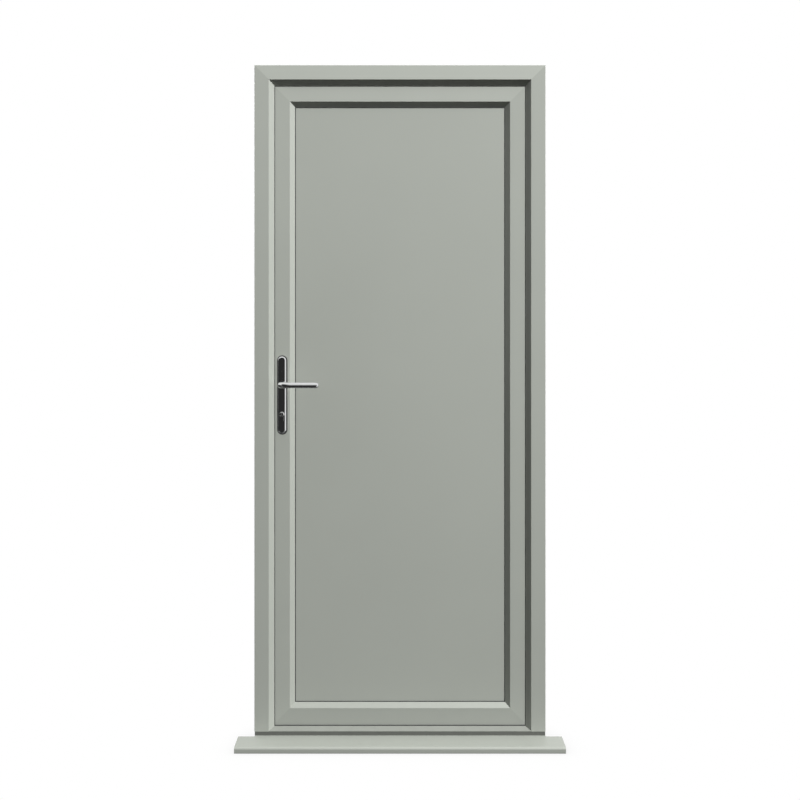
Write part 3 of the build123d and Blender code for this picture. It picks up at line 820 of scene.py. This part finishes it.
def card_material():
    """Dark in the middle and white at the edges, by the card's own square."""
    material = bpy.data.materials.new("card_dark")
    material.use_nodes = True
    tree = material.node_tree
    tree.nodes.clear()
    place = tree.nodes.new("ShaderNodeTexCoord")
    parts = tree.nodes.new("ShaderNodeSeparateXYZ")
    tree.links.new(place.outputs["Object"], parts.inputs["Vector"])
    edge = tree.nodes.new("ShaderNodeMath")
    edge.operation = "MAXIMUM"
    for socket, axis in zip(edge.inputs, "XY"):
        size = tree.nodes.new("ShaderNodeMath")
        size.operation = "ABSOLUTE"
        tree.links.new(parts.outputs[axis], size.inputs[0])
        tree.links.new(size.outputs["Value"], socket)
    level = tree.nodes.new("ShaderNodeMapRange")
    level.interpolation_type = "SMOOTHSTEP"
    level.inputs["From Min"].default_value = 1.0 - CARD_FADE
    level.inputs["From Max"].default_value = 1.0
    level.inputs["To Min"].default_value = CARD_SHADE
    level.inputs["To Max"].default_value = 1.0
    tree.links.new(edge.outputs["Value"], level.inputs["Value"])
    glow = tree.nodes.new("ShaderNodeEmission")
    tree.links.new(level.outputs["Result"], glow.inputs["Strength"])
    output = tree.nodes.new("ShaderNodeOutputMaterial")
    tree.links.new(glow.outputs["Emission"], output.inputs["Surface"])
    return material


def card(name, centre, right, up, material):
    """A dark card with soft edges that only reflections see, from its centre and its two half sides."""
    sheet = square(name, 1, material)
    outward = Vector(right).cross(Vector(up)).normalized()
    turn = Matrix((right, up, outward)).transposed().to_4x4()
    sheet.matrix_world = Matrix.Translation(centre) @ turn
    sheet.visible_camera = False
    sheet.visible_diffuse = False
    sheet.visible_shadow = False
    sheet.visible_transmission = False


def dark_cards():
    """Cards before and behind the handles, at their left and on the floor."""
    material = card_material()
    level = SPINDLE.z - CARD_DROP
    across = (CARD_WIDTH / 2, 0, 0)
    upright = (0, 0, CARD_HEIGHT / 2)
    for name, side in (("outside", -1), ("inside", 1)):
        y = LEAF_MIDDLE_Y + side * CARD_DISTANCE
        card("card_" + name, (SPINDLE.x - CARD_SHIFT, y, level), across, upright, material)
    side_x = SPINDLE.x - CARD_SIDE_DISTANCE
    deep = (0, CARD_SIDE_DEPTH / 2, 0)
    side_z = SPINDLE.z + CARD_SIDE_RISE - CARD_SIDE_HEIGHT / 2
    card("card_side", (side_x, LEAF_MIDDLE_Y, side_z), deep, (0, 0, CARD_SIDE_HEIGHT / 2), material)
    half = CARD_FLOOR_SIZE / 2
    card("card_floor", (0, 0, CARD_LIFT), (half, 0, 0), (0, half, 0), material)


def seen_directly(tree):
    """One where a ray comes from the camera, a reflection or a clear surface, and zero elsewhere."""
    path = tree.nodes.new("ShaderNodeLightPath")
    total = path.outputs["Is Camera Ray"]
    for name in ("Is Glossy Ray", "Is Transmission Ray"):
        plus = tree.nodes.new("ShaderNodeMath")
        plus.operation = "ADD"
        plus.use_clamp = True
        tree.links.new(total, plus.inputs[0])
        tree.links.new(path.outputs[name], plus.inputs[1])
        total = plus.outputs["Value"]
    return total


def floor_material():
    """White where it is seen, with a painted shadow beside the door from an occlusion node, and nearly black
    to the light on the door.
    """
    material = bpy.data.materials.new("floor_white")
    material.use_nodes = True
    tree = material.node_tree
    tree.nodes.clear()
    # Painted shadow: the glow falls to this share where the door is near
    painted_shadow_occlusion = tree.nodes.new("ShaderNodeAmbientOcclusion")
    painted_shadow_occlusion.samples = FLOOR_PAINTED_SHADOW_SAMPLES
    painted_shadow_occlusion.inputs["Distance"].default_value = FLOOR_PAINTED_SHADOW_REACH
    level = tree.nodes.new("ShaderNodeMapRange")
    level.inputs["To Min"].default_value = FLOOR_PAINTED_SHADOW
    level.inputs["To Max"].default_value = 1.0
    tree.links.new(painted_shadow_occlusion.outputs["AO"], level.inputs["Value"])
    glow = tree.nodes.new("ShaderNodeEmission")
    tree.links.new(level.outputs["Result"], glow.inputs["Strength"])
    matt = tree.nodes.new("ShaderNodeBsdfDiffuse")
    matt.inputs["Color"].default_value = (FLOOR_BOUNCE, FLOOR_BOUNCE, FLOOR_BOUNCE, 1.0)
    mix = tree.nodes.new("ShaderNodeMixShader")
    tree.links.new(seen_directly(tree), mix.inputs["Fac"])
    tree.links.new(matt.outputs["BSDF"], mix.inputs[1])
    tree.links.new(glow.outputs["Emission"], mix.inputs[2])
    output = tree.nodes.new("ShaderNodeOutputMaterial")
    tree.links.new(mix.outputs["Shader"], output.inputs["Surface"])
    return material


def floor():
    """A white floor that throws little light back up."""
    plane = square("floor", FLOOR_SIZE / 2, floor_material())


def world():
    """White where it is seen, and a sky that is brighter overhead as light."""
    surroundings = bpy.data.worlds.new("studio")
    bpy.context.scene.world = surroundings
    surroundings.use_nodes = True
    tree = surroundings.node_tree
    background = tree.nodes["Background"]
    background.inputs["Color"].default_value = (1.0, 1.0, 1.0, 1.0)
    place = tree.nodes.new("ShaderNodeTexCoord")
    parts = tree.nodes.new("ShaderNodeSeparateXYZ")
    tree.links.new(place.outputs["Generated"], parts.inputs["Vector"])
    sky = tree.nodes.new("ShaderNodeMapRange")
    sky.inputs["To Min"].default_value = SKY_HORIZON
    sky.inputs["To Max"].default_value = SKY_HORIZON + SKY_RISE
    tree.links.new(parts.outputs["Z"], sky.inputs["Value"])
    choose = tree.nodes.new("ShaderNodeMix")
    tree.links.new(seen_directly(tree), choose.inputs["Factor"])
    tree.links.new(sky.outputs["Result"], choose.inputs["A"])
    choose.inputs["B"].default_value = 1.0
    tree.links.new(choose.outputs["Result"], background.inputs["Strength"])


def aimed(thing, direction, distance, target):
    """Puts a lamp at a distance from its target and points it there."""
    towards = Vector(direction).normalized()
    thing.location = Vector(target) + towards * distance
    thing.rotation_euler = towards.to_track_quat("Z", "Y").to_euler()


def lamps():
    """A key lamp from the upper right in front, without cast shadows, and a soft one for the inside."""
    target = (0, 0, (cad_box[0].z + cad_box[1].z) / 2)
    key = bpy.data.lights.new("key", "POINT")
    key.energy = KEY_LIGHT * 4 * math.pi * KEY_DISTANCE ** 2
    key.shadow_soft_size = KEY_SIZE
    key.use_shadow = False
    inside = bpy.data.lights.new("inside", "SUN")
    inside.energy = BACK_LIGHT
    inside.angle = BACK_SOFTNESS
    for lamp, direction in ((key, KEY_DIRECTION), (inside, BACK_DIRECTION)):
        holder = bpy.data.objects.new(lamp.name, lamp)
        bpy.context.scene.collection.objects.link(holder)
        aimed(holder, direction, KEY_DISTANCE, target)


def camera():
    """A level camera in front of the door."""
    lens = bpy.data.cameras.new("camera")
    lens.lens = CAMERA_LENS
    lens.shift_y = CAMERA_SHIFT
    holder = bpy.data.objects.new("camera", lens)
    holder.location = (0, -CAMERA_DISTANCE, CAMERA_HEIGHT)
    holder.rotation_euler = (math.pi / 2, 0, 0)
    bpy.context.scene.collection.objects.link(holder)
    bpy.context.scene.camera = holder


dress_nodes()
faceplate_screws()
keep_screws()
hinge_screws()
inside_plate_screws()
fixing_caps()
cylinder_plug("cylinder_plug_outside", CYLINDER_LOW.y, -1)
cylinder_plug("cylinder_plug_inside", CYLINDER_HIGH.y, 1)
handle_plate("outside_plate", -1)
handle_plate("inside_plate", 1)
lever("outside_lever", mirrored=False)
lever("inside_lever", mirrored=True)
lever_grub_screws()
floor()
dark_cards()
world()
lamps()
camera()
bpy.context.scene.view_settings.view_transform = "Standard"
